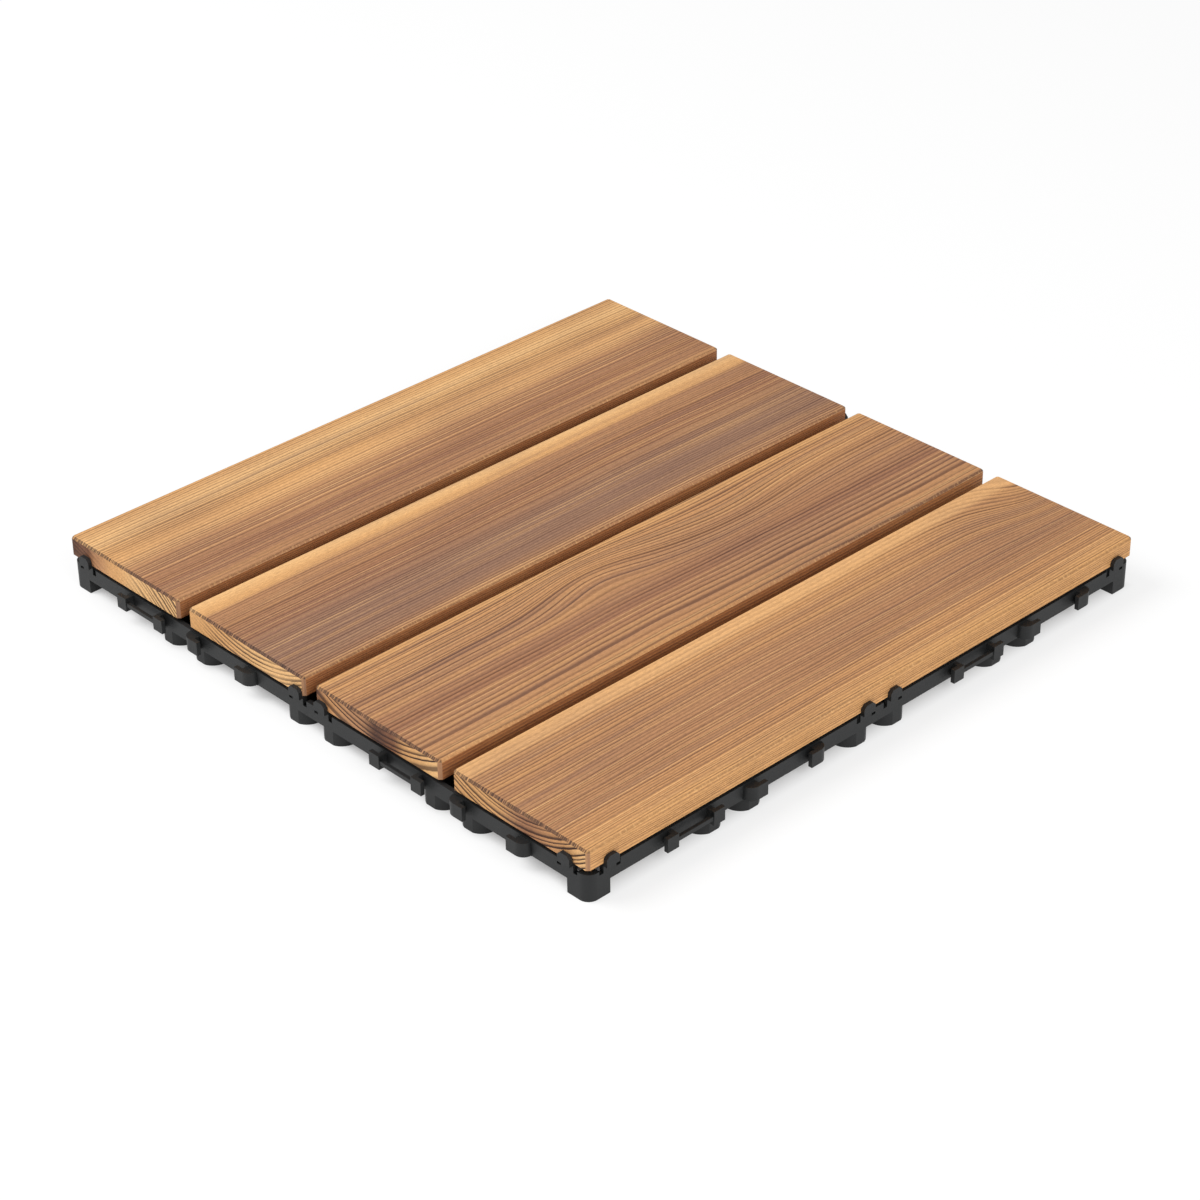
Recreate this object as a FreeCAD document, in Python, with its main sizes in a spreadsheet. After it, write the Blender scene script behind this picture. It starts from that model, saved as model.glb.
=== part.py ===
import FreeCAD, Part
import Sketcher
import math
import os

# Interlocking deck tile: four wooden slats on a moulded plastic grid that hooks onto its neighbours.
# The origin is the centre of the tile on the ground. The slats run along Y and lie side by side along X.

document = FreeCAD.newDocument("deck_tile")

# Driving dimensions in millimetres
DIMENSIONS = [
    ("tile_side", 296.0, "side of the square of wood, and of the rim under it"),
    ("tile_gap", 4.0, "gap between the wood of two joined tiles"),
    ("slat_gap", 6.4, "drain gap between two slats"),
    ("slat_thickness", 8.2, "thickness of a slat"),
    ("slat_corner", 1.2, "bevel of a slat's four upright corners"),
    ("slat_ease", 0.9, "bevel of a slat's top edges"),
    ("foot_height", 6.1, "free height of the feet below the rim and the ribs"),
    ("rim_height", 6.4, "height of the rim's wall"),
    ("rim_wall", 2.0, "thickness of the rim's wall"),
    ("rim_corner", 4.3, "outer radius of the rim's corners"),
    ("corner_drop", 1.1, "how much lower the rim is round its corners"),
    ("seat_rise", 1.5, "rise of the ribs above the rim, which carries the wood clear of it"),
    ("rib_wall", 1.8, "thickness of a rib"),
    ("foot_radius", 7.0, "radius of a round foot"),
    ("foot_inset", 6.6, "from the rim's face to the centres of the feet along it"),
    ("foot_wall", 1.75, "least wall round the square hollow in a foot"),
    ("foot_roof", 1.5, "thickness of the plastic above the hollow in a foot"),
    ("peg_side", 10.0, "side of the square pegs under the middle of the grid"),
    ("corner_foot", 10.5, "side of the square foot at each corner"),
    ("pair_spacing", 20.0, "between the centres of the two feet of a pair"),
    ("pair_inset", 71.4, "from the rim's face to the middle of the foot pair nearest the corner"),
    ("clip_width", 6.1, "width of an upright clip"),
    ("clip_wall", 1.7, "thickness of a clip's upright plate"),
    ("clip_rise", 3.2, "how far a clip stands up beside the slat"),
    ("clip_step", 1.2, "how far below the slat a clip steps out of the rim"),
    ("clip_bevel", 1.3, "bevel of a clip's two top corners"),
    ("clip_gap", 0.1, "clearance between a clip and the wood"),
    ("clip_inset", 10.4, "from the rim's face to the middle of the clip nearest the corner"),
    ("clip_pair", 14.6, "between the middles of the two clips halfway along a side"),
    ("notch_margin", 2.0, "width of the notch on each side of a clip"),
    ("notch_depth", 2.7, "depth of the notch below the rim's top"),
    ("inner_link", 51.8, "from the middle of a side to the inner tongue and the inner socket"),
    ("link_spacing", 47.5, "between the middles of an inner and an outer tongue or socket"),
    ("link_low", 5.8, "height of the underside of tongues and sockets above the ground"),
    ("link_height", 6.1, "height of tongues and sockets"),
    ("link_wall", 1.8, "thickness of the flanges and lips that hook together"),
    ("link_side_play", 0.7, "clearance between a tongue's neck and the lips beside it"),
    ("link_end_play", 0.4, "clearance between a flange's end and the socket's post"),
    ("link_depth_play", 0.1, "clearance between a flange and the rim that it slides along"),
    ("neck_half", 10.7, "from the middle of a tongue to the outer face of its neck"),
    ("neck_wall", 2.0, "thickness of the two sides of the neck"),
    ("flange_reach", 3.5, "how far a tongue's flange reaches past its neck"),
    ("post_width", 5.6, "width of a socket's post"),
    ("post_round", 3.9, "radius of the post's outer corner"),
    ("bar_low", 2.5, "from the underside of a tongue to its cross bar"),
    ("bar_height", 1.7, "height of the cross bar"),
    ("bar_wall", 1.4, "thickness of the cross bar"),
    ("bar_recess", 0.3, "how far the cross bar lies behind the flanges' face"),
    ("boss_side", 11.0, "side of the square boss that a screw passes through"),
    ("boss_web", 5.0, "height of a boss, which is the plastic between a screw's head and the wood"),
    ("head_radius", 3.5, "radius of a screw's head"),
    ("head_height", 2.4, "height of a screw's head"),
    ("shank_radius", 1.75, "radius of a screw's shank"),
    ("shank_play", 0.3, "clearance round the shank in the plastic"),
    ("pilot_play", 0.05, "clearance round the shank in the wood"),
    ("tip_cover", 2.2, "wood left between a screw's point and the tread"),
    ("tip_play", 0.3, "depth of the pilot hole beyond the screw's point"),
]
SLAT_COUNT = 4
SHANK_SIDES = 12
HEAD_SIDES = 16
SIDE_COUNT = 4

# Two lengths closer than this are taken as the same when edges are picked
TOUCH = 0.01

sizes = document.addObject("Spreadsheet::Sheet", "sizes")
for row, (alias, size, meaning) in enumerate(DIMENSIONS, start=1):
    sizes.set(f"A{row}", str(size))
    sizes.setAlias(f"A{row}", alias)
    sizes.set(f"B{row}", meaning)
document.recompute()

# Expressions worked out from the driving dimensions
HALF_SIDE = "(sizes.tile_side / 2)"
SLAT_WIDTH = f"((sizes.tile_side - {SLAT_COUNT - 1} * sizes.slat_gap) / {SLAT_COUNT})"
SLAT_PITCH = f"({SLAT_WIDTH} + sizes.slat_gap)"
RIM_TOP = "(sizes.foot_height + sizes.rim_height)"
SEAT = f"({RIM_TOP} + sizes.seat_rise)"
NOTCH_FLOOR = f"({RIM_TOP} - sizes.notch_depth)"
FOOT_ROW = f"({HALF_SIDE} - sizes.foot_inset)"
PAIR_HALF = "(sizes.pair_spacing / 2)"
PAIR_MIDDLE = f"({HALF_SIDE} - sizes.pair_inset)"
PAIR_NEAR = f"({PAIR_MIDDLE} - {PAIR_HALF})"
PAIR_FAR = f"({PAIR_MIDDLE} + {PAIR_HALF})"
INNER_SLAT = f"({SLAT_PITCH} / 2)"
OUTER_SLAT = f"({SLAT_PITCH} * 3 / 2)"
INNER_WALL = f"({FOOT_ROW} - sizes.foot_radius)"
CORNER_CLIP = f"({HALF_SIDE} - sizes.clip_inset)"
MIDDLE_CLIP = "(sizes.clip_pair / 2)"
NOTCH_HALF = "(sizes.clip_width / 2 + sizes.notch_margin)"
FOOT_CORE = "(sqrt(2) * (sizes.foot_radius - sizes.foot_wall))"
CORNER_CORE = "(sizes.corner_foot - 2 * sizes.foot_wall)"
CORE_DEPTH = "(sizes.foot_height - sizes.foot_roof)"
OUTER_LINK = "(sizes.inner_link + sizes.link_spacing)"
LINK_FACE = f"({HALF_SIDE} + sizes.tile_gap - sizes.link_depth_play)"
LINK_BACK = f"({LINK_FACE} - sizes.link_wall)"
LINK_ROOT = f"({HALF_SIDE} - sizes.rim_wall / 2)"
SCREW_GRIP = "(sizes.slat_thickness - sizes.tip_cover)"

CROSSINGS = [PAIR_HALF, INNER_SLAT, PAIR_NEAR, PAIR_FAR, OUTER_SLAT, INNER_WALL]
SIDE_FEET = [PAIR_HALF, PAIR_NEAR, PAIR_FAR]


def number(expression):
    """The value of an expression of the sheet's dimensions, in millimetres."""
    return float(sizes.evalExpression(expression))


def both_sides(expressions):
    """Each expression with a minus and with a plus sign."""
    return [f"{sign}{expression}" for expression in expressions for sign in ("-", "")]


def new_body(label):
    body = document.addObject("PartDesign::Body", label)
    body.Label = label
    return body


def new_sketch(body, name, role, offset="0"):
    """A sketch on one of the body's own origin planes, moved along its normal by an expression."""
    plane = [item for item in body.Origin.OriginFeatures if item.Role == role][0]
    sketch = body.newObject("Sketcher::SketchObject", name)
    sketch.AttachmentSupport = [(plane, "")]
    sketch.MapMode = "FlatFace"
    sketch.setExpression("AttachmentOffset.Base.z", f"({offset}) * 1 mm")
    return sketch


def add_constraints(sketch, free, sized):
    """Add all constraints in one call and bind the sized ones to their expressions."""
    sketch.addConstraint(free + [Sketcher.Constraint(*what, number(size)) for what, size in sized])
    first = sketch.ConstraintCount - len(sized)
    for index, (what, size) in enumerate(sized, start=first):
        sketch.setExpression(f"Constraints[{index}]", f"({size}) * 1 mm")


def draw_circles(sketch, places, radius):
    sized = []
    for across, along in places:
        middle = FreeCAD.Vector(number(across), number(along), 0)
        circle = Part.Circle(middle, FreeCAD.Vector(0, 0, 1), number(radius))
        index = sketch.addGeometry(circle, False)
        sized.append((("DistanceX", index, 3), across))
        sized.append((("DistanceY", index, 3), along))
        sized.append((("Radius", index), radius))
    add_constraints(sketch, [], sized)


def draw_polygon(sketch, corners):
    """A closed outline of straight lines whose corners are pairs of expressions."""
    points = [FreeCAD.Vector(number(across), number(along), 0) for across, along in corners]
    count = len(points)
    lines = []
    for index in range(count):
        line = Part.LineSegment(points[index], points[(index + 1) % count])
        lines.append(sketch.addGeometry(line, False))
    free = []
    sized = []
    for index, (across, along) in enumerate(corners):
        free.append(Sketcher.Constraint("Coincident", lines[index - 1], 2, lines[index], 1))
        sized.append((("DistanceX", lines[index], 1), across))
        sized.append((("DistanceY", lines[index], 1), along))
    add_constraints(sketch, free, sized)


def draw_shank_hole(sketch, across, along, radius):
    """A hole with as many sides as the shank that goes through it."""
    corners = []
    for index in range(SHANK_SIDES):
        angle = 2 * math.pi * index / SHANK_SIDES
        corners.append((f"{across} + {radius} * {math.cos(angle):.9f}",
                        f"{along} + {radius} * {math.sin(angle):.9f}"))
    draw_polygon(sketch, corners)


def draw_outline(sketch, corners):
    """A closed outline of lines along X and Y, some of whose corners are rounded.

    Each corner is (across, along) or (across, along, radius), as expressions.
    """
    places = [FreeCAD.Vector(number(corner[0]), number(corner[1]), 0) for corner in corners]
    radii = [number(corner[2]) if len(corner) > 2 else 0.0 for corner in corners]
    count = len(corners)
    headings = [(places[(index + 1) % count] - places[index]).normalize() for index in range(count)]
    lines = []
    free = []
    sized = []
    for index in range(count):
        after = (index + 1) % count
        start = places[index] + headings[index] * radii[index]
        end = places[after] - headings[index] * radii[after]
        line = sketch.addGeometry(Part.LineSegment(start, end), False)
        lines.append(line)
        if abs(headings[index].x) > abs(headings[index].y):
            free.append(Sketcher.Constraint("Horizontal", line))
            sized.append((("DistanceY", line, 1), corners[index][1]))
        else:
            free.append(Sketcher.Constraint("Vertical", line))
            sized.append((("DistanceX", line, 1), corners[index][0]))
    for index in range(count):
        before = lines[index - 1]
        if not radii[index]:
            free.append(Sketcher.Constraint("Coincident", before, 2, lines[index], 1))
            continue
        entry = places[index] - headings[index - 1] * radii[index]
        leave = places[index] + headings[index] * radii[index]
        middle = entry + headings[index] * radii[index]
        turns_left = headings[index - 1].cross(headings[index]).z > 0
        first, last = (entry, leave) if turns_left else (leave, entry)
        start_angle = math.atan2(first.y - middle.y, first.x - middle.x)
        end_angle = math.atan2(last.y - middle.y, last.x - middle.x)
        rounding = Part.Circle(middle, FreeCAD.Vector(0, 0, 1), radii[index])
        arc = sketch.addGeometry(Part.ArcOfCircle(rounding, start_angle, end_angle), False)
        entry_end, leave_end = (1, 2) if turns_left else (2, 1)
        free.append(Sketcher.Constraint("Tangent", before, 2, arc, entry_end))
        free.append(Sketcher.Constraint("Tangent", lines[index], 1, arc, leave_end))
        sized.append((("Radius", arc), corners[index][2]))
    add_constraints(sketch, free, sized)


def box_corners(low_across, high_across, low_along, high_along):
    return [
        (low_across, low_along),
        (high_across, low_along),
        (high_across, high_along),
        (low_across, high_along),
    ]


def pad(body, sketch, name, length):
    feature = body.newObject("PartDesign::Pad", name)
    feature.Profile = sketch
    feature.setExpression("Length", f"({length}) * 1 mm")
    body.Tip = feature
    return feature


def pocket(body, sketch, name, length):
    feature = body.newObject("PartDesign::Pocket", name)
    feature.Profile = sketch
    feature.setExpression("Length", f"({length}) * 1 mm")
    body.Tip = feature
    return feature


def repeat_round_axis(body, name, occurrences):
    """The whole body so far, repeated about the tile's upright axis."""
    axis = [item for item in body.Origin.OriginFeatures if item.Role == "Z_Axis"][0]
    pattern = body.newObject("PartDesign::PolarPattern", name)
    pattern.TransformMode = "Whole shape"
    pattern.Axis = (axis, [""])
    pattern.Angle = 360
    pattern.Occurrences = occurrences
    body.Tip = pattern
    return pattern


def bevel_edges(body, name, wanted, size):
    """Bevel those edges of the body's last feature that a test picks by their end points."""
    document.recompute()
    base = body.Tip
    names = []
    for index, edge in enumerate(base.Shape.Edges, start=1):
        ends = [vertex.Point for vertex in edge.Vertexes]
        if len(ends) == 2 and wanted(ends[0], ends[1]):
            names.append(f"Edge{index}")
    chamfer = body.newObject("PartDesign::Chamfer", name)
    chamfer.Base = (base, names)
    chamfer.setExpression("Size", f"{size} * 1 mm")
    body.Tip = chamfer
    return chamfer


def make_rim(base):
    """The wall of one side and its right corner, lower there, with a notch for every clip."""
    inside = f"({HALF_SIDE} - sizes.rim_wall)"
    inner_corner = "(sizes.rim_corner - sizes.rim_wall)"
    corner_start = f"({HALF_SIDE} - sizes.corner_foot)"
    ring = new_sketch(base, "rim_plan", "XY_Plane", "sizes.foot_height")
    draw_outline(ring, [
        (f"-{corner_start}", f"-{HALF_SIDE}"),
        (HALF_SIDE, f"-{HALF_SIDE}", "sizes.rim_corner"),
        (HALF_SIDE, f"-{corner_start}"),
        (inside, f"-{corner_start}"),
        (inside, f"-{inside}", inner_corner),
        (f"-{corner_start}", f"-{inside}"),
    ])
    pad(base, ring, "rim", "sizes.rim_height - sizes.notch_depth")

    near_corner = f"({CORNER_CLIP} + {NOTCH_HALF})"
    shoulder = new_sketch(base, "rim_corner_plan", "XY_Plane", NOTCH_FLOOR)
    draw_outline(shoulder, [
        (near_corner, f"-{HALF_SIDE}"),
        (HALF_SIDE, f"-{HALF_SIDE}", "sizes.rim_corner"),
        (HALF_SIDE, f"-{near_corner}"),
        (inside, f"-{near_corner}"),
        (inside, f"-{inside}", inner_corner),
        (near_corner, f"-{inside}"),
    ])
    pad(base, shoulder, "rim_corners", "sizes.notch_depth - sizes.corner_drop")

    crest = new_sketch(base, "rim_crest_plan", "XY_Plane", NOTCH_FLOOR)
    far_end = f"{CORNER_CLIP} - {NOTCH_HALF}"
    spans = [
        (f"-({far_end})", f"-({MIDDLE_CLIP} + {NOTCH_HALF})"),
        (f"-({MIDDLE_CLIP} - {NOTCH_HALF})", f"{MIDDLE_CLIP} - {NOTCH_HALF}"),
        (f"{MIDDLE_CLIP} + {NOTCH_HALF}", far_end),
    ]
    for start, end in spans:
        draw_outline(crest, box_corners(start, end, f"-{HALF_SIDE}", f"-{inside}"))
    pad(base, crest, "rim_crests", "sizes.notch_depth")


def make_lattice(base):
    """One quarter of the crossing ribs that carry the slats, from the middle to the rim.

    The ribs under the middle of a slat stop at the sides of each screw boss in their way.
    """
    across_plan = new_sketch(base, "rib_plan_across", "XY_Plane", "sizes.foot_height")
    along_plan = new_sketch(base, "rib_plan_along", "XY_Plane", "sizes.foot_height")
    boss_half = "sizes.boss_side / 2"
    whole_run = [("0", LINK_ROOT)]
    inner_slat_runs = [
        ("0", f"{OUTER_SLAT} - {boss_half}"),
        (f"{OUTER_SLAT} + {boss_half}", LINK_ROOT),
    ]
    outer_slat_runs = [
        ("0", f"{INNER_SLAT} - {boss_half}"),
        (f"{INNER_SLAT} + {boss_half}", f"{OUTER_SLAT} - {boss_half}"),
        (f"{OUTER_SLAT} + {boss_half}", LINK_ROOT),
    ]
    runs = {INNER_SLAT: inner_slat_runs, OUTER_SLAT: outer_slat_runs}
    for place in CROSSINGS:
        low = f"{place} - sizes.rib_wall / 2"
        high = f"{place} + sizes.rib_wall / 2"
        for start, end in runs.get(place, whole_run):
            draw_outline(along_plan, box_corners(low, high, f"-({end})", f"-({start})"))
            draw_outline(across_plan, box_corners(start, end, f"-({high})", f"-({low})"))
    rib_height = "sizes.rim_height + sizes.seat_rise"
    pad(base, across_plan, "ribs_across", rib_height)
    pad(base, along_plan, "ribs_along", rib_height)


def square_at(across, along, side):
    half = f"{side} / 2"
    return box_corners(f"{across} - {half}", f"{across} + {half}",
                       f"{along} - {half}", f"{along} + {half}")


def make_feet(base):
    """Round feet along one side, a square one in its corner and pegs under the quarter."""
    places = [(place, f"-{FOOT_ROW}") for place in both_sides(SIDE_FEET)]
    plan = new_sketch(base, "foot_plan", "XY_Plane")
    draw_circles(plan, places, "sizes.foot_radius")
    near = HALF_SIDE
    far = f"({HALF_SIDE} - sizes.corner_foot)"
    draw_outline(plan, [
        (far, f"-{near}"),
        (near, f"-{near}", "sizes.rim_corner"),
        (near, f"-{far}"),
        (far, f"-{far}"),
    ])
    for across in (PAIR_HALF, PAIR_NEAR):
        for along in (PAIR_HALF, PAIR_NEAR):
            draw_outline(plan, square_at(across, f"-{along}", "sizes.peg_side"))
    pad(base, plan, "feet", "sizes.foot_height")

    trim = new_sketch(base, "foot_trim_plan", "XY_Plane", "sizes.foot_height")
    draw_outline(trim, box_corners(
        f"-{HALF_SIDE}", HALF_SIDE, f"-({HALF_SIDE} + sizes.foot_radius)", f"-{HALF_SIDE}"))
    pocket(base, trim, "foot_trim", "sizes.foot_height")

    core_plan = new_sketch(base, "foot_core_plan", "XY_Plane", CORE_DEPTH)
    for across, along in places:
        draw_outline(core_plan, square_at(across, along, FOOT_CORE))
    corner_middle = f"({HALF_SIDE} - sizes.corner_foot / 2)"
    draw_outline(core_plan, square_at(corner_middle, f"-{corner_middle}", CORNER_CORE))
    pocket(base, core_plan, "foot_cores", CORE_DEPTH)


def make_bosses(base):
    """Square bosses between the ribs, each with the hole that a screw's shank passes through."""
    plan = new_sketch(base, "boss_plan", "XY_Plane", f"{SEAT} - sizes.boss_web")
    places = [(INNER_SLAT, OUTER_SLAT), (OUTER_SLAT, INNER_SLAT), (OUTER_SLAT, OUTER_SLAT)]
    for across, along in places:
        draw_outline(plan, square_at(across, f"-{along}", "sizes.boss_side"))
        draw_shank_hole(plan, across, f"-{along}", "(sizes.shank_radius + sizes.shank_play)")
    pad(base, plan, "bosses", "sizes.boss_web")


def make_clips(base):
    """Springy clips that leave the rim in a notch, step outwards and stand against the slats."""
    inside = f"-({HALF_SIDE} - sizes.rim_wall)"
    face = f"-{HALF_SIDE}"
    plate_back = f"-({HALF_SIDE} + sizes.clip_gap)"
    plate_face = f"-({HALF_SIDE} + sizes.clip_gap + sizes.clip_wall)"
    step = f"({SEAT} - sizes.clip_step)"
    step_top = f"({SEAT} - sizes.clip_gap)"
    top = f"({SEAT} + sizes.clip_rise)"
    layers = [
        ("clip_stems", NOTCH_FLOOR, step, face, inside),
        ("clip_steps", step, step_top, plate_face, inside),
        ("clip_plates", step_top, top, plate_face, plate_back),
    ]
    for name, low, high, outer, inner in layers:
        plan = new_sketch(base, f"{name}_plan", "XY_Plane", low)
        for place in both_sides([MIDDLE_CLIP, CORNER_CLIP]):
            draw_outline(plan, box_corners(
                f"{place} - sizes.clip_width / 2", f"{place} + sizes.clip_width / 2", outer, inner))
        pad(base, plan, name, f"{high} - {low}")


def make_tongue(plan, bar_plan, middle):
    """One T-shaped tongue: a neck of two walls, each ending in a flange, tied by a thin bar."""
    for side in ("-", "+"):
        inner = f"{middle} {side} (sizes.neck_half - sizes.neck_wall)"
        outer = f"{middle} {side} sizes.neck_half"
        tip = f"{middle} {side} (sizes.neck_half + sizes.flange_reach)"
        draw_outline(plan, [
            (inner, f"-{LINK_ROOT}"),
            (outer, f"-{LINK_ROOT}"),
            (outer, f"-{LINK_BACK}"),
            (tip, f"-{LINK_BACK}"),
            (tip, f"-{LINK_FACE}"),
            (inner, f"-{LINK_FACE}"),
        ])
    bar_half = "(sizes.neck_half - sizes.neck_wall / 2)"
    bar_face = f"{LINK_FACE} - sizes.bar_recess"
    draw_outline(bar_plan, box_corners(
        f"{middle} - {bar_half}", f"{middle} + {bar_half}",
        f"-({bar_face})", f"-({bar_face} - sizes.bar_wall)"))


def make_socket(plan, middle):
    """One C-shaped socket: two posts whose lips reach in front of the neighbour's flanges."""
    post_inside = "(sizes.neck_half + sizes.flange_reach + sizes.link_end_play)"
    for side in ("-", "+"):
        lip = f"{middle} {side} (sizes.neck_half + sizes.link_side_play)"
        inner = f"{middle} {side} {post_inside}"
        outer = f"{middle} {side} ({post_inside} + sizes.post_width)"
        draw_outline(plan, [
            (inner, f"-{LINK_ROOT}"),
            (outer, f"-{LINK_ROOT}"),
            (outer, f"-{LINK_FACE}", "sizes.post_round"),
            (lip, f"-{LINK_FACE}"),
            (lip, f"-{LINK_BACK}"),
            (inner, f"-{LINK_BACK}"),
        ])


def make_links(base):
    """Two tongues and two sockets on one side, placed so that any side meets any other."""
    plan = new_sketch(base, "link_plan", "XY_Plane", "sizes.link_low")
    bar_plan = new_sketch(base, "bar_plan", "XY_Plane", "sizes.link_low + sizes.bar_low")
    make_tongue(plan, bar_plan, f"-{OUTER_LINK}")
    make_tongue(plan, bar_plan, "sizes.inner_link")
    make_socket(plan, "-sizes.inner_link")
    make_socket(plan, OUTER_LINK)
    pad(base, plan, "link_hooks", "sizes.link_height")
    pad(base, bar_plan, "link_bars", "sizes.bar_height")


def make_deck_base():
    """The moulded plastic grid: one side and one quarter of the lattice, repeated four times."""
    base = new_body("deck_base")
    make_rim(base)
    make_clips(base)
    make_links(base)
    clip_top = number(f"{SEAT} + sizes.clip_rise")
    clip_wall = number("sizes.clip_wall")

    def is_clip_corner(start, end):
        at_top = abs(start.z - clip_top) < TOUCH and abs(end.z - clip_top) < TOUCH
        return at_top and abs(start.distanceToPoint(end) - clip_wall) < TOUCH

    bevel_edges(base, "clip_corners", is_clip_corner, "sizes.clip_bevel")
    make_feet(base)
    make_bosses(base)
    make_lattice(base)
    repeat_round_axis(base, "four_sides", SIDE_COUNT)
    return base


def make_slat(index):
    """One wooden slat with bevelled edges and the pilot holes for its two screws."""
    slat = new_body(f"slat_{index + 1}")
    middle = f"({index - (SLAT_COUNT - 1) / 2}) * {SLAT_PITCH}"
    board = new_sketch(slat, "board_plan", "XY_Plane", SEAT)
    half_width = f"({SLAT_WIDTH} / 2)"
    draw_outline(board, box_corners(f"-{half_width}", half_width, f"-{HALF_SIDE}", HALF_SIDE))
    pad(slat, board, "board", "sizes.slat_thickness")
    top = number(f"{SEAT} + sizes.slat_thickness")

    def is_upright(start, end):
        return abs(start.z - end.z) > TOUCH

    def is_on_top(start, end):
        return abs(start.z - top) < TOUCH and abs(end.z - top) < TOUCH

    bevel_edges(slat, "upright_corners", is_upright, "sizes.slat_corner")
    bevel_edges(slat, "top_edges", is_on_top, "sizes.slat_ease")

    pilot_depth = f"({SCREW_GRIP} + sizes.tip_play)"
    pilot_plan = new_sketch(slat, "pilot_plan", "XY_Plane", f"{SEAT} + {pilot_depth}")
    for along in both_sides([OUTER_SLAT]):
        draw_shank_hole(pilot_plan, "0", along, "(sizes.shank_radius + sizes.pilot_play)")
    pocket(slat, pilot_plan, "pilot_holes", pilot_depth)
    slat.setExpression("Placement.Base.x", f"({middle}) * 1 mm")
    return slat


def make_screw():
    """A wood screw with its point up, from the seat of its head; thread and point are left plain."""
    head = document.addObject("Part::Prism", "screw_head")
    head.Polygon = HEAD_SIDES
    head.setExpression("Circumradius", "sizes.head_radius * 1 mm")
    head.setExpression("Height", "sizes.head_height * 1 mm")
    head.setExpression("Placement.Base.z", "-sizes.head_height * 1 mm")
    shank = document.addObject("Part::Prism", "screw_shank")
    shank.Polygon = SHANK_SIDES
    shank.setExpression("Circumradius", "sizes.shank_radius * 1 mm")
    shank.setExpression("Height", f"(sizes.boss_web + {SCREW_GRIP}) * 1 mm")
    screw = document.addObject("Part::Fuse", "screw")
    screw.Base = head
    screw.Tool = shank
    return screw


def make_screws():
    """Two screws in every slat, as a group of separate solids."""
    screw = make_screw()
    document.recompute()
    copies = []
    for across in both_sides([INNER_SLAT, OUTER_SLAT]):
        for along in both_sides([OUTER_SLAT]):
            copy = screw.Shape.copy()
            seat = number(f"{SEAT} - sizes.boss_web")
            copy.translate(FreeCAD.Vector(number(across), number(along), seat))
            copies.append(copy)
    screws = document.addObject("Part::Feature", "slat_screws")
    screws.Label = "slat_screws"
    screws.Shape = Part.makeCompound(copies)
    return screws


def main():
    parts = [make_deck_base()]
    parts += [make_slat(index) for index in range(SLAT_COUNT)]
    parts.append(make_screws())
    document.recompute()
    for item in document.Objects:
        if "Invalid" in item.State or "Error" in item.State:
            raise RuntimeError(f"{item.Name} failed: {item.State}")
    for part in parts:
        if part.Shape.isNull() or not part.Shape.isValid():
            raise RuntimeError(f"{part.Label} has no valid shape")
    os.makedirs("parts", exist_ok=True)
    for part in parts:
        part.Shape.exportStep(f"parts/{part.Label}.step")
        print(part.Label, len(part.Shape.Solids), round(part.Shape.Volume, 1), part.Shape.BoundBox)


main()
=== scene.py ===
import math

import bpy
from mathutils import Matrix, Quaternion, Vector


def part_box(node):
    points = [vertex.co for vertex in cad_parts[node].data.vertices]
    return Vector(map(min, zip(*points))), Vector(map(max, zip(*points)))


# The tile as it lies in the frame: slats along Y, side by side along X, feet on the floor at Z = 0.
# Lengths are metres, but millimetres inside the wood's nodes and wherever a name ends in _mm.

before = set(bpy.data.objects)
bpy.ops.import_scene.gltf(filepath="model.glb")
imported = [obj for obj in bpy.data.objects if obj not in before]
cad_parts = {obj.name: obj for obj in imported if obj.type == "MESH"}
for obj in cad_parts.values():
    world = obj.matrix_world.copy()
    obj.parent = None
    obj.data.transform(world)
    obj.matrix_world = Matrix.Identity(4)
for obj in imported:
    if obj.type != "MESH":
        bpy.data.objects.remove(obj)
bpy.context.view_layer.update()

MM_PER_M = 1000.0


def linear(red, green, blue):
    """A colour written in the 0 to 255 display scale, as the linear values that a node takes."""
    channels = []
    for value in (red, green, blue):
        share = value / 255.0
        channels.append(share / 12.92 if share <= 0.04045 else ((share + 0.055) / 1.055) ** 2.4)
    return (*channels, 1.0)


# Pale early wood comes first, and dark late wood and the scorched ends come last
CREAM = linear(230, 182, 124)
STRAW = linear(220, 168, 112)
GOLD = linear(212, 159, 102)
HONEY = linear(194, 141, 92)
TAN = linear(176, 127, 88)
# A darker brown for the sides that face a neighbouring slat, as painted shade of the gaps between slats
GAP_SHADE = linear(176, 117, 71)
BROWN = linear(160, 112, 80)
TAUPE = linear(150, 112, 88)
UMBER = linear(120, 78, 54)
PLUM = linear(116, 84, 76)
COCOA = linear(84, 52, 38)
LATE_WARM = linear(86, 49, 30)
LATE_COOL = linear(80, 52, 46)
LATE_END = linear(54, 29, 20)
CHAR = linear(52, 34, 28)

PLASTIC_DARK = linear(24, 25, 25)
PLASTIC_PALE = linear(34, 35, 36)
PLASTIC_DUSTY = linear(56, 58, 58)
ZINC_DARK = linear(176, 176, 172)
ZINC_PALE = linear(208, 208, 202)

# Most of a soft noise lies in this range, and most of a rough one in the wider range
SOFT = (-0.6, 0.6)
ROUGH = (-0.8, 0.8)

# How far a normal leans along an axis, from 0 to 1. A face is a side or an end from FLAT up.
# On the bevels round the top, the lean upwards lies between BEVEL_LOW and BEVEL_HIGH.
# At an upright corner, both level leans are from CORNER up.
FLAT = (0.72, 0.8)
BEVEL_LOW = (0.3, 0.4)
BEVEL_HIGH = (0.95, 0.85)
CORNER = (0.5, 0.65)


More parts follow.
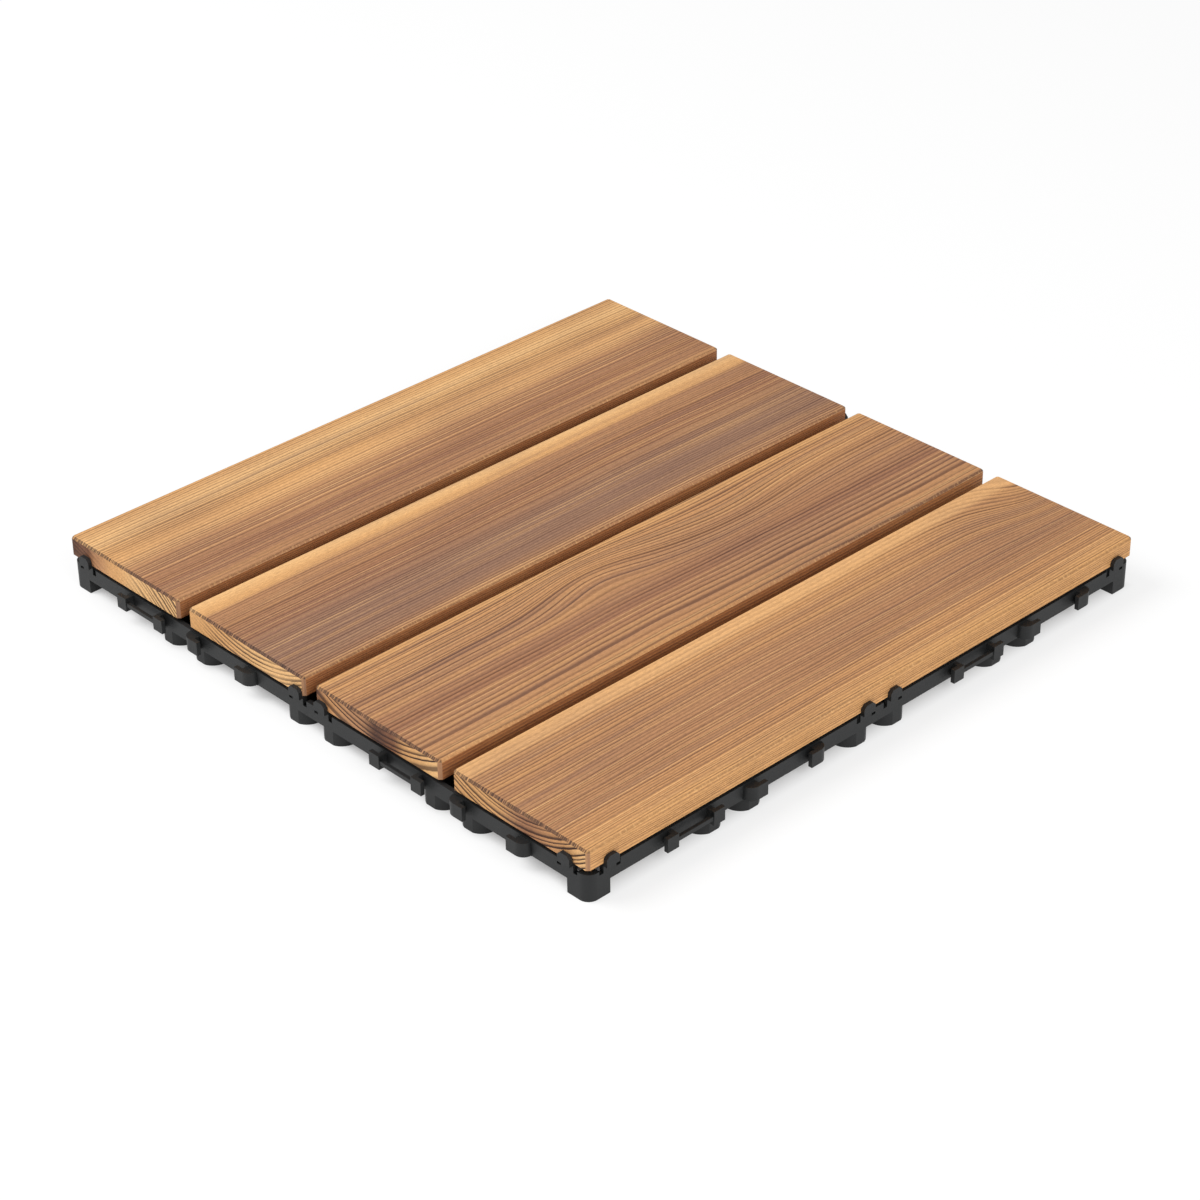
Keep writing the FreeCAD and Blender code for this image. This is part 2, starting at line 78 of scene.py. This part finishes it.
class Shader:
    """One material's node tree, with a short call for each kind of node that repeats."""

    def __init__(self, name):
        self.material = bpy.data.materials.new(name)
        self.material.use_nodes = True
        self.tree = self.material.node_tree
        self.tree.nodes.clear()
        self.surface = self.tree.nodes.new("ShaderNodeBsdfPrincipled")
        self.output = self.tree.nodes.new("ShaderNodeOutputMaterial")
        self.feed(self.output.inputs["Surface"], self.surface.outputs[0])

    def feed(self, socket, value):
        if isinstance(value, bpy.types.NodeSocket):
            self.tree.links.new(value, socket)
        else:
            socket.default_value = value

    def coat(self, values):
        """Sets the sockets of the surface that the dictionary names."""
        for name, value in values.items():
            self.feed(self.surface.inputs[name], value)

    def place(self):
        """The position in the object's own axes."""
        return self.tree.nodes.new("ShaderNodeTexCoord").outputs["Object"]

    def math(self, operation, first, second=0.0, third=0.0):
        node = self.tree.nodes.new("ShaderNodeMath")
        node.operation = operation
        for socket, value in zip(node.inputs, (first, second, third)):
            self.feed(socket, value)
        return node.outputs[0]

    def chain(self, operation, values):
        total = values[0]
        for value in values[1:]:
            total = self.math(operation, total, value)
        return total

    def add(self, *values):
        return self.chain("ADD", values)

    def times(self, *values):
        return self.chain("MULTIPLY", values)

    def greatest(self, *values):
        return self.chain("MAXIMUM", values)

    def join(self, across, along, up):
        node = self.tree.nodes.new("ShaderNodeCombineXYZ")
        for socket, value in zip(node.inputs, (across, along, up)):
            self.feed(socket, value)
        return node.outputs[0]

    def split(self, vector):
        node = self.tree.nodes.new("ShaderNodeSeparateXYZ")
        self.feed(node.inputs[0], vector)
        return node.outputs

    def noise(self, vector, detail=2.0, roughness=0.5, scale=1.0):
        """Noise about zero, from about -1 to 1."""
        node = self.tree.nodes.new("ShaderNodeTexNoise")
        self.feed(node.inputs["Vector"], vector)
        node.inputs["Scale"].default_value = scale
        node.inputs["Detail"].default_value = detail
        node.inputs["Roughness"].default_value = roughness
        return self.math("MULTIPLY_ADD", node.outputs["Fac"], 2.0, -1.0)

    def random(self, value):
        node = self.tree.nodes.new("ShaderNodeTexWhiteNoise")
        node.noise_dimensions = "1D"
        self.feed(node.inputs["W"], value)
        return node.outputs["Value"]

    def ramp(self, value, stops, smooth=False):
        """A colour ramp whose stops are (place, grey or colour)."""
        node = self.tree.nodes.new("ShaderNodeValToRGB")
        node.color_ramp.interpolation = "EASE" if smooth else "LINEAR"
        elements = node.color_ramp.elements
        while len(elements) < len(stops):
            elements.new(1.0)
        for element, (place, colour) in zip(elements, stops):
            element.position = place
            element.color = colour if isinstance(colour, tuple) else (colour, colour, colour, 1.0)
        self.feed(node.inputs[0], value)
        return node.outputs[0]

    def span(self, value, low, high, start=0.0, end=1.0):
        """A value moved from the range low to high into the range start to end, and held there."""
        node = self.tree.nodes.new("ShaderNodeMapRange")
        self.feed(node.inputs["Value"], value)
        for name, number in (("From Min", low), ("From Max", high), ("To Min", start), ("To Max", end)):
            node.inputs[name].default_value = number
        return node.outputs[0]

    def mix(self, factor, first, second, blend="MIX"):
        node = self.tree.nodes.new("ShaderNodeMix")
        node.data_type = "RGBA"
        node.blend_type = blend
        # The node has sockets for every kind of value, and these are the ones for colours
        for index, value in ((0, factor), (6, first), (7, second)):
            self.feed(node.inputs[index], value)
        return node.outputs[2]

    def tint(self, colour, other, where, between, share=1.0):
        """The colour with another one mixed in, up to a share, as a value passes through a range."""
        low, high = between
        return self.mix(self.span(where, low, high, 0.0, share), colour, other)

    def cover(self, colour, other, mask, share):
        """The colour with a share of another one mixed in where a mask is 1."""
        return self.mix(self.times(mask, share), colour, other)

    def blend(self, factor, first, second):
        """A mix of two surfaces."""
        node = self.tree.nodes.new("ShaderNodeMixShader")
        for socket, value in zip(node.inputs, (factor, first, second)):
            self.feed(socket, value)
        return node.outputs[0]

    def bump(self, height, distance, strength):
        node = self.tree.nodes.new("ShaderNodeBump")
        node.inputs["Distance"].default_value = distance
        node.inputs["Strength"].default_value = strength
        self.feed(node.inputs["Height"], height)
        self.feed(self.surface.inputs["Normal"], node.outputs[0])


# What differs from slat to slat:
# seed picks its pattern, and sides are the colours of its left and its right edge; a side that faces a
# neighbouring slat is a darker brown, painted shade of the gap between them.
# pitch_mm and end_pitch_mm are from ring to ring, on the top and on the ends.
# wave_mm is how far the slow waves bend the grain, and contrast how dark its lines are on the top.
# pith_mm is the tree's centre, across from the slat's middle and up from its underside.
# widening is how fast the rings grow wider to the right, or to the left where it is below zero.
# face and end are colours across the width, as (share of the width, colour).
# top_lines and end_lines are how much the lines show there, as (share of the width, strength).
# humps bend the grain: their middles across and along, their reaches across and along, their heights.
LOOKS = {
    "slat_1": {
        "seed": 3.0, "pitch_mm": 1.6, "end_pitch_mm": 2.1, "wave_mm": 1.2, "contrast": 0.85,
        "pith_mm": (-66.0, -105.0), "widening": 0.0, "sides": (GOLD, GAP_SHADE),
        "face": [(0.0, GOLD), (0.18, CREAM), (0.34, GOLD), (0.47, STRAW), (0.58, TAN), (0.8, BROWN),
                 (1.0, TAN)],
        "end": [(0.0, COCOA), (0.16, UMBER), (0.24, TAN), (0.42, GOLD), (0.62, CREAM), (1.0, CREAM)],
        "top_lines": [(0.0, 0.9), (1.0, 1.0)],
        "end_lines": [(0.0, 0.9), (0.2, 0.5), (0.3, 0.12), (0.5, 0.1), (0.62, 0.5), (0.8, 1.0), (1.0, 1.0)],
        "humps": [(-12.0, 10.0, 14.0, 90.0, 1.2)],
    },
    "slat_2": {
        "seed": 11.0, "pitch_mm": 1.5, "end_pitch_mm": 1.8, "wave_mm": 1.2, "contrast": 0.92,
        "pith_mm": (4.0, 66.0), "widening": 0.0, "sides": (GAP_SHADE, GAP_SHADE),
        "face": [(0.0, CREAM), (0.13, GOLD), (0.17, TAN), (0.4, BROWN), (0.66, TAUPE), (0.86, TAUPE),
                 (1.0, TAN)],
        "end": [(0.0, GOLD), (0.3, GOLD), (0.7, CREAM), (1.0, CREAM)],
        "top_lines": [(0.0, 0.1), (0.12, 0.15), (0.17, 0.9), (1.0, 1.0)],
        "end_lines": [(0.0, 0.1), (0.12, 0.2), (0.26, 0.9), (0.62, 1.0), (0.75, 0.6), (1.0, 0.9)],
        "humps": [(-20.0, 60.0, 18.0, 60.0, 2.0)],
    },
    "slat_3": {
        "seed": 23.0, "pitch_mm": 2.1, "end_pitch_mm": 2.6, "wave_mm": 1.6, "contrast": 1.0,
        "pith_mm": (2.0, 72.0), "widening": 0.006, "sides": (GAP_SHADE, GAP_SHADE),
        "face": [(0.0, GOLD), (0.12, HONEY), (0.4, TAN), (0.62, BROWN), (0.8, TAN), (1.0, HONEY)],
        "end": [(0.0, UMBER), (0.12, HONEY), (0.36, TAN), (0.5, COCOA), (0.62, UMBER), (0.76, GOLD),
                (1.0, CREAM)],
        "top_lines": [(0.0, 1.0), (1.0, 1.0)],
        "end_lines": [(0.0, 1.0), (1.0, 1.0)],
        "humps": [(-18.0, -24.0, 13.0, 27.0, 8.0), (-14.0, 50.0, 14.0, 36.0, -6.0),
                  (18.0, -30.0, 14.0, 40.0, 2.0)],
    },
    "slat_4": {
        "seed": 41.0, "pitch_mm": 1.5, "end_pitch_mm": 1.9, "wave_mm": 1.4, "contrast": 1.0,
        "pith_mm": (-4.0, 62.0), "widening": -0.004, "sides": (GAP_SHADE, GOLD),
        "face": [(0.0, STRAW), (0.1, STRAW), (0.16, HONEY), (0.45, TAN), (0.66, TAN), (0.85, HONEY),
                 (1.0, GOLD)],
        "end": [(0.0, GOLD), (0.3, GOLD), (0.55, BROWN), (0.8, HONEY), (1.0, CREAM)],
        "top_lines": [(0.0, 0.3), (0.1, 0.4), (0.16, 0.9), (1.0, 1.0)],
        "end_lines": [(0.0, 0.9), (1.0, 1.0)],
        "humps": [(-17.0, 153.0, 18.0, 32.0, -13.0), (0.0, -60.0, 20.0, 80.0, 2.0)],
    },
}

# How dark the wood grows through one ring, as (share of the ring, darkness)
RING = [(0.0, 0.0), (0.3, 0.05), (0.55, 0.45), (0.72, 1.0), (0.92, 1.0), (1.0, 0.0)]


class Wood(Shader):
    """Heat-treated softwood whose growth rings run along the slat and show as arcs on its ends."""

    def __init__(self, name, low, high):
        super().__init__(f"wood_{name}")
        self.look = LOOKS[name]
        self.seed = self.look["seed"]
        x, y, z = self.split(self.place())
        self.across = self.times(self.add(x, -(low.x + high.x) / 2), MM_PER_M)
        self.along = self.times(y, MM_PER_M)
        self.up = self.times(self.add(z, -low.z), MM_PER_M)
        width_mm = (high.x - low.x) * MM_PER_M
        self.share = self.add(self.math("DIVIDE", self.across, width_mm), 0.5)

        geometry = self.tree.nodes.new("ShaderNodeNewGeometry")
        facing = self.split(geometry.outputs["Normal"])
        self.facing_x, self.facing_y, self.facing_z = [self.math("ABSOLUTE", value) for value in facing]
        self.is_side = self.span(self.facing_x, *FLAT)
        self.is_end = self.span(self.facing_y, *FLAT)

        # Slow and quick waves bend the grain
        self.slow = self.cloud(across=0.018, along=0.0065)
        self.quick = self.cloud(across=0.07, along=0.03, layer=5.0)
        self.grain = self.bent_grain()
        # Streaks of several rings, finer streaks, fibres, and large patches
        self.band = self.streaks(across=0.2, along=0.0035, roughness=0.62)
        self.fine = self.streaks(across=1.5, along=0.012, roughness=0.6)
        self.fibre = self.cloud(across=3.2, along=0.4, up=3.2, roughness=0.75)
        self.patch = self.cloud(across=0.03, along=0.012, layer=9.0)

        self.top_line, self.top_own = self.rings(self.grain, self.look["pitch_mm"])
        self.side_line, self.side_own = self.rings(self.side_grain(), self.look["pitch_mm"])
        self.end_line, self.end_own = self.rings(self.pith_distance(), self.look["end_pitch_mm"])

    def cloud(self, across, along, up=None, layer=0.0, roughness=0.5):
        """Noise with so many cycles in a millimetre each way. Without up, it is alike at all heights."""
        height = self.seed + layer if up is None else self.times(self.up, up)
        vector = self.join(self.times(self.across, across), self.times(self.along, along), height)
        return self.noise(vector, roughness=roughness)

    def streaks(self, across, along, roughness):
        """Noise that follows the grain, with so many cycles in a millimetre across and along it."""
        vector = self.join(self.times(self.grain, across), self.times(self.along, along), self.seed)
        return self.noise(vector, detail=3.0, roughness=roughness)

    def hump(self, middle_across, middle_along, reach_across, reach_along, height):
        """A smooth hump in the grain, of the given height at its middle."""
        left = self.math("DIVIDE", self.add(self.across, -middle_across), reach_across)
        ahead = self.math("DIVIDE", self.add(self.along, -middle_along), reach_along)
        square = self.add(self.times(left, left), self.times(ahead, ahead))
        return self.times(self.math("EXPONENT", self.times(square, -1.0)), height)

    def bent_grain(self):
        """The place across the top that counts the rings, bent by waves and humps."""
        quick_wave_mm = 0.45
        grain = self.add(self.across, self.times(self.slow, self.look["wave_mm"]),
                         self.times(self.quick, quick_wave_mm))
        for hump in self.look["humps"]:
            grain = self.add(grain, self.hump(*hump))
        return self.add(grain, self.times(self.across, self.across, -self.look["widening"]))

    def side_grain(self):
        """The height that counts the rings on a side, where they lie closer together, bent by waves."""
        crowding = 1.4
        slow_wave_mm, quick_wave_mm = 2.2, 0.5
        return self.add(self.times(self.up, crowding), self.times(self.slow, slow_wave_mm),
                        self.times(self.quick, quick_wave_mm))

    def pith_distance(self):
        """The distance from the pith, which counts the rings on an end, a little ragged."""
        wave_mm, ragged_mm = 0.3, 0.22
        pith_across, pith_up = self.look["pith_mm"]
        left = self.add(self.across, -pith_across, self.times(self.quick, wave_mm))
        rise = self.add(self.up, -pith_up)
        distance = self.math("SQRT", self.add(self.times(left, left), self.times(rise, rise)))
        return self.add(distance, self.times(self.cloud(across=0.35, along=0.02, up=0.35), ragged_mm))

    def rings(self, coordinate, pitch_mm):
        """How dark the late wood is at a place, and a number that is each ring's own."""
        drift_rings, drifts_per_mm = 1.5, 0.16
        drift = self.noise(self.join(self.times(coordinate, drifts_per_mm), self.seed, 0.0), detail=3.0)
        count = self.add(self.math("DIVIDE", coordinate, pitch_mm), self.times(drift, drift_rings))
        own = self.random(self.add(self.math("FLOOR", count), self.seed))
        return self.ramp(self.math("FRACT", count), RING), own

    def shown(self, lines):
        """How much the lines show at a place across the width."""
        return self.split(self.ramp(self.share, self.look[lines]))[0]

    def painted_glints(self):
        """Painted highlight: thin cream lines along the grain, here and there, that stand for glints of
        light on the early wood.
        """
        pitch_mm = 1.7
        # Far enough along the pattern for the lines to keep clear of the dark rings
        offset_mm = 400.0
        line, own = self.rings(self.add(self.grain, offset_mm), pitch_mm)
        thin = self.span(line, 0.97, 1.0)
        chosen = self.span(own, 0.7, 1.0)
        return self.times(thin, chosen, self.span(self.patch, -0.5, 0.5, 0.2, 0.9))

    def top(self):
        """The colour of the tread."""
        colour = self.ramp(self.share, self.look["face"], smooth=True)
        colour = self.tint(colour, GOLD, self.band, between=(0.05, 0.55), share=0.65)
        colour = self.tint(colour, PLUM, self.band, between=(-0.05, -0.6), share=0.6)
        colour = self.tint(colour, CREAM, self.fine, between=(0.12, 0.6), share=0.6)
        colour = self.tint(colour, TAUPE, self.patch, between=(0.0, -0.7), share=0.35)
        own_strength = self.span(self.top_own, 0.0, 0.8, 0.5, 1.0)
        fade = self.span(self.patch, -0.6, 0.5, 1.0, 0.6)
        strength = self.times(self.top_line, own_strength, fade, self.look["contrast"])
        strength = self.times(strength, self.shown("top_lines"))
        late = self.tint(LATE_COOL, LATE_WARM, self.band, between=(-0.4, 0.3))
        # The cream lines mixed in last are painted glints of light
        return self.mix(self.painted_glints(), self.mix(strength, colour, late), CREAM)

    def side(self):
        """The colour of the two long sides, where a side that faces a neighbouring slat is darker as
        painted shade of the gap.
        """
        left_side, right_side = self.look["sides"]
        colour = self.ramp(self.share, [(0.45, left_side), (0.55, right_side)])
        colour = self.tint(colour, GOLD, self.fine, between=(0.0, 0.6), share=0.4)
        own_strength = self.span(self.side_own, 0.0, 1.0, 0.4, 1.0)
        return self.cover(colour, UMBER, self.times(self.side_line, own_strength), share=0.9)

    def end(self):
        """The colour of the two sawn ends."""
        colour = self.ramp(self.share, self.look["end"], smooth=True)
        mottle = self.noise(self.join(self.times(self.across, 2.2), 0.0, self.times(self.up, 2.2)),
                            detail=3.0, roughness=0.6)
        colour = self.tint(colour, HONEY, mottle, between=(0.0, 0.8), share=0.35)
        own_strength = self.span(self.end_own, 0.0, 0.8, 0.7, 1.0)
        strength = self.times(self.end_line, own_strength, self.shown("end_lines"))
        return self.mix(strength, colour, LATE_END)

    def shaded(self, colour):
        """The colour made darker and brighter by the fibres."""
        dark, bright = 0.78, 1.2
        dash = self.cloud(across=1.6, along=0.45, up=1.6, roughness=0.7)
        tone = self.times(self.span(self.fibre, *ROUGH, dark, bright),
                          self.span(dash, -0.7, 0.7, dark, bright))
        return self.mix(1.0, colour, self.join(tone, tone, tone), blend="MULTIPLY")

    def worn(self, colour):
        """The colour with the scorched edges that the saw leaves, pale long edges that are partly ragged
        fibres and partly painted highlight, and duller corners.
        """
        bevel = self.times(self.span(self.facing_z, *BEVEL_LOW), self.span(self.facing_z, *BEVEL_HIGH))
        broken = self.span(self.noise(self.times(self.across, 1.3)), -0.35, 0.1)
        scorched = self.times(bevel, self.span(self.facing_y, *BEVEL_LOW), broken)
        colour = self.cover(colour, CHAR, scorched, share=0.85)
        # Pale long top edges: partly ragged fibres, partly a painted highlight along the edges
        tears = self.noise(self.join(self.times(self.along, 0.8), self.times(self.across, 0.5), self.seed),
                           detail=3.0)
        torn_and_highlit = self.times(bevel, self.span(self.facing_x, *BEVEL_LOW), self.span(tears, 0.0, 0.5))
        colour = self.cover(colour, CREAM, torn_and_highlit, share=0.6)
        corner = self.times(self.span(self.facing_x, *CORNER), self.span(self.facing_y, *CORNER))
        return self.cover(colour, TAUPE, corner, share=0.6)

    def ridges(self):
        """The height of the late wood and of the fibres, on each face from its own rings."""
        ring_share, fibre_share = 0.6, 0.5
        ridge = self.top_line
        for is_here, line in ((self.is_side, self.side_line), (self.is_end, self.end_line)):
            ridge = self.add(ridge, self.times(is_here, self.math("SUBTRACT", line, ridge)))
        return self.add(self.times(ridge, ring_share), self.times(self.fibre, fibre_share))


def wood(name, low, high):
    shader = Wood(name, low, high)
    colour = shader.mix(shader.is_side, shader.top(), shader.side())
    colour = shader.mix(shader.is_end, colour, shader.end())
    shader.coat({
        "Base Color": shader.worn(shader.shaded(colour)),
        "Roughness": shader.span(shader.fibre, *ROUGH, 0.58, 0.78),
        "Specular IOR Level": 0.28,
    })
    shader.bump(shader.ridges(), distance=0.00012, strength=0.9)
    return shader.material


def moulded_plastic():
    """Black polypropylene with the fine spark-eroded grain of its mould."""
    shader = Shader("moulded_plastic")
    place = shader.place()
    cloud = shader.noise(place, detail=3.0, scale=60.0)
    grain = shader.noise(place, scale=2600.0)
    colour = shader.tint(PLASTIC_DARK, PLASTIC_PALE, cloud, between=SOFT)
    shader.coat({
        "Base Color": shader.tint(colour, PLASTIC_DUSTY, grain, between=(0.25, 0.8), share=0.35),
        "Roughness": shader.span(cloud, *SOFT, 0.42, 0.58),
        "Specular IOR Level": 0.32,
    })
    shader.bump(grain, distance=0.00006, strength=0.6)
    return shader.material


def zinc():
    """Zinc-plated steel, slightly mottled."""
    shader = Shader("zinc_plated_steel")
    cloud = shader.noise(shader.place(), detail=3.0, scale=900.0)
    shader.coat({
        "Base Color": shader.tint(ZINC_DARK, ZINC_PALE, cloud, between=SOFT),
        "Metallic": 1.0,
        "Roughness": shader.span(cloud, *SOFT, 0.28, 0.44),
    })
    return shader.material


def dress(name, material):
    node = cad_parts[name]
    node.data.materials.clear()
    node.data.materials.append(material)


for slat in LOOKS:
    dress(slat, wood(slat, *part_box(slat)))
dress("deck_base", moulded_plastic())
dress("slat_screws", zinc())


def white_paint():
    """Matt white that glows for the camera, but not under the tile, and is clear from below."""
    # The glow ends this far inside the slats' outline, and is whole this far outside it
    covered_inset, open_margin = 0.012, 0.002
    glow_share = 0.72
    shader = Shader("white_floor")
    shader.coat({"Base Color": (0.9, 0.9, 0.9, 1.0), "Roughness": 1.0, "Specular IOR Level": 0.0})
    glow = shader.tree.nodes.new("ShaderNodeEmission")
    glow.inputs["Strength"].default_value = 1.0
    path = shader.tree.nodes.new("ShaderNodeLightPath")
    seen = shader.greatest(path.outputs["Is Camera Ray"], path.outputs["Is Glossy Ray"],
                           path.outputs["Is Transmission Ray"])
    x, y, _ = shader.split(shader.place())
    reach = shader.greatest(shader.math("ABSOLUTE", x), shader.math("ABSOLUTE", y))
    half_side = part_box("slat_4")[1].x
    uncovered = shader.span(reach, half_side - covered_inset, half_side + open_margin)
    glowing = shader.times(seen, glow_share, uncovered)
    upper_face = shader.blend(glowing, shader.surface.outputs[0], glow.outputs[0])
    clear = shader.tree.nodes.new("ShaderNodeBsdfTransparent")
    from_below = shader.tree.nodes.new("ShaderNodeNewGeometry").outputs["Backfacing"]
    both_faces = shader.blend(from_below, upper_face, clear.outputs[0])
    shader.feed(shader.output.inputs["Surface"], both_faces)
    return shader.material


def white_floor():
    """A white floor that keeps the tile's shadow."""
    size = 6.0
    # Just below the feet, so that no two faces share a plane
    drop = 0.0001
    bpy.ops.mesh.primitive_plane_add(size=size, location=(0, 0, -drop))
    floor = bpy.context.object
    floor.name = "floor"
    floor.data.materials.append(white_paint())


def white_world(strength):
    """Soft light from all round, and plain white where the camera sees past the floor."""
    world = bpy.data.worlds.new("studio")
    world.use_nodes = True
    bpy.context.scene.world = world
    tree = world.node_tree
    tree.nodes.clear()
    path = tree.nodes.new("ShaderNodeLightPath")
    blend = tree.nodes.new("ShaderNodeMixShader")
    output = tree.nodes.new("ShaderNodeOutputWorld")
    tree.links.new(path.outputs["Is Camera Ray"], blend.inputs[0])
    for socket, brightness in ((blend.inputs[1], strength), (blend.inputs[2], 1.0)):
        background = tree.nodes.new("ShaderNodeBackground")
        background.inputs["Color"].default_value = (1.0, 1.0, 1.0, 1.0)
        background.inputs["Strength"].default_value = brightness
        tree.links.new(background.outputs[0], socket)
    tree.links.new(blend.outputs[0], output.inputs[0])


def area_light(name, place, size, power):
    """A round lamp that shines at the middle of the tile."""
    data = bpy.data.lights.new(name, "AREA")
    data.shape = "DISK"
    data.size = size
    data.energy = power
    lamp = bpy.data.objects.new(name, data)
    lamp.location = place
    lamp.rotation_euler = (-Vector(place)).to_track_quat("-Z", "Y").to_euler()
    bpy.context.scene.collection.objects.link(lamp)


def photo_camera():
    """The photograph's viewpoint: 46 degrees round, 32 degrees up, with a long lens."""
    azimuth = math.radians(46.478)
    elevation = math.radians(31.928)
    roll = math.radians(-0.711)
    distance = 1.2721
    target = Vector((-0.0001, -0.0001, -0.0075))
    back = Vector((
        math.sin(azimuth) * math.cos(elevation),
        -math.cos(azimuth) * math.cos(elevation),
        math.sin(elevation),
    ))
    data = bpy.data.cameras.new("photo_camera")
    data.sensor_width = 36.0
    data.lens = 95.756
    camera = bpy.data.objects.new("photo_camera", data)
    camera.location = target + back * distance
    aim = (-back).to_track_quat("-Z", "Y") @ Quaternion((0.0, 0.0, 1.0), roll)
    camera.rotation_euler = aim.to_euler()
    bpy.context.scene.collection.objects.link(camera)
    bpy.context.scene.camera = camera


white_floor()
white_world(strength=0.55)
area_light("key", place=(-0.9, -0.9, 1.5), size=1.2, power=26.0)
area_light("fill", place=(1.4, -0.3, 0.9), size=1.0, power=12.0)
photo_camera()
bpy.context.scene.view_settings.view_transform = "Standard"
